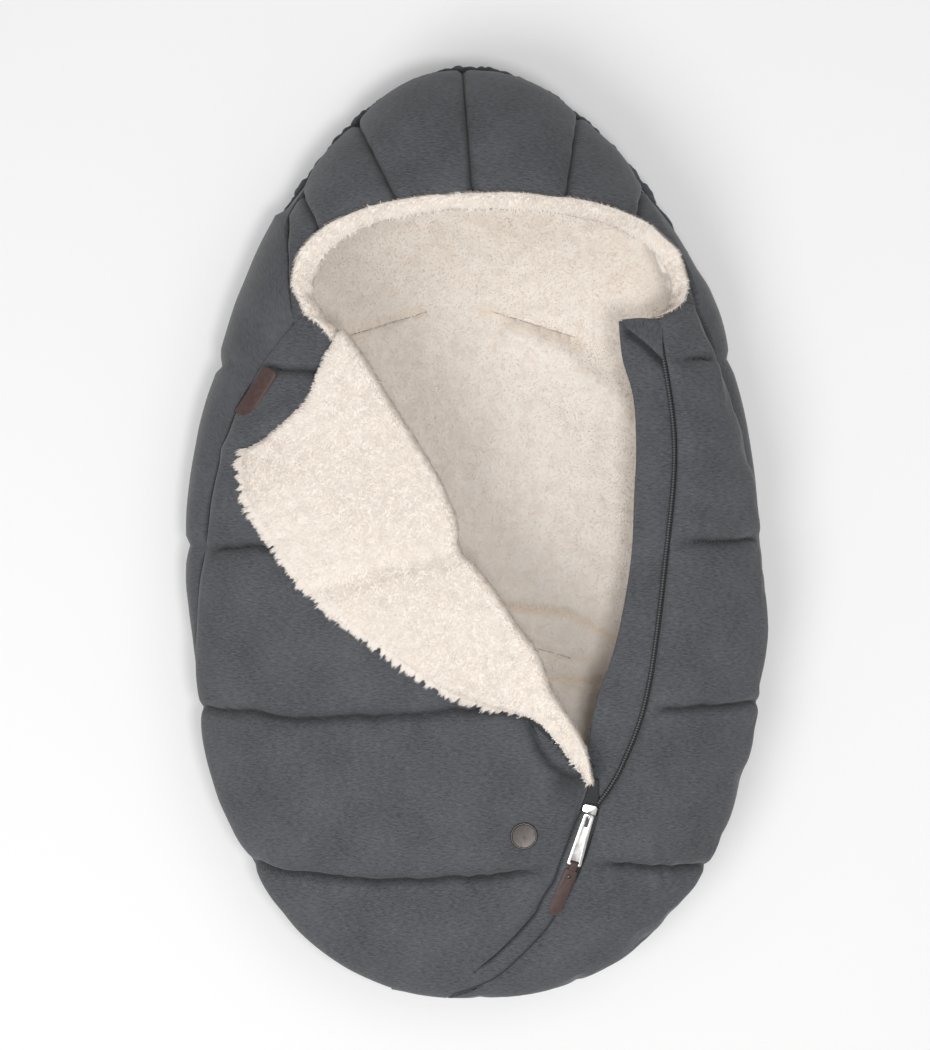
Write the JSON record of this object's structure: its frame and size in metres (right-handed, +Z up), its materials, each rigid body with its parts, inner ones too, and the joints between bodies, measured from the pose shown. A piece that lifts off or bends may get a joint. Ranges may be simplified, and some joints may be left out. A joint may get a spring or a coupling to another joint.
{
  "type": "car seat footmuff",
  "caption": "Egg-shaped quilted footmuff on its back: fleece lining, gored hood with elastic hem, and a zip-edged front flap folded back over the left cover.",
  "frame": {"origin": "on the floor under the middle of the muff's outline, where its flat back rests", "axes": "+Z up out of the opening, +Y towards the hood, +X towards the open zip"},
  "size_m": [0.4612, 0.7537, 0.1505],
  "materials": {
    "shell": "matt heathered twill",
    "wadding": "soft fibre fill",
    "fleece": "short deep pile",
    "zip": "woven tape and nylon coil",
    "nickel": "bright nickel",
    "gunmetal": "dark satin plating",
    "leather": "smooth dark brown"
  },
  "bodies": {
    "muff": {"back_shell": "shell", "back_wadding": "wadding", "back_lining": "fleece", "left_cover_shell": "shell", "left_cover_wadding": "wadding", "left_cover_lining": "fleece", "right_cover_shell": "shell", "right_cover_wadding": "wadding", "right_cover_lining": "fleece", "hood_gore_left_side": "shell", "hood_gore_left_outer": "shell", "hood_gore_left_inner": "shell", "hood_gore_right_inner": "shell", "hood_gore_right_outer": "shell", "hood_gore_right_side": "shell", "hood_wadding": "wadding", "hood_lining": "fleece", "hood_rim_band": "fleece", "hood_elastic_hem": "shell", "right_zip_tape": "zip", "right_zip_coil": "zip", "zip_underlap": "shell", "closed_zip_chain": "zip", "zip_bottom_stop": "gunmetal", "zip_fly": "shell", "badge": "gunmetal", "badge_washer": "nickel", "leather_side_tag": "leather", "left_shoulder_slot_binding": "fleece", "right_shoulder_slot_binding": "fleece", "seat_slot_binding": "fleece"},
    "flap": {"flap_shell": "shell", "flap_wadding": "wadding", "flap_lining": "fleece", "flap_zip_tape": "zip", "flap_zip_coil": "zip"},
    "slider": {"zip_slider_body": "nickel"},
    "puller": {"zip_puller": "nickel"},
    "leather_pull": {"leather_pull": "leather", "leather_pull_rivet": "gunmetal"}
  },
  "joints": [
    {"name": "flap_fold", "type": "hinge", "parent": "muff", "child": "flap", "pos_m": [0.08839, -0.19559, 0.10722], "axis": [-0.4968, 0.8664, 0.0511], "range_deg": [0, 180]},
    {"name": "slider_travel", "type": "hinge", "parent": "muff", "child": "slider", "pos_m": [-0.10741, -0.18137, 0.0412], "axis": [0.3003, 0.0005, -0.9538], "range_deg": [0, 40], "deforming": ["closed_zip_chain", "zip_fly"]},
    {"name": "puller_swing", "type": "hinge", "parent": "slider", "child": "puller", "pos_m": [0.08678, -0.22451, 0.10658], "axis": [-0.9475, 0.2821, 0.1503], "range_deg": [0, 135]},
    {"name": "leather_pull_swing", "type": "hinge", "parent": "puller", "child": "leather_pull", "pos_m": [0.07491, -0.26317, 0.1043], "axis": [-0.9248, 0.348, 0.1538], "range_deg": [0, 100]}
  ]
}
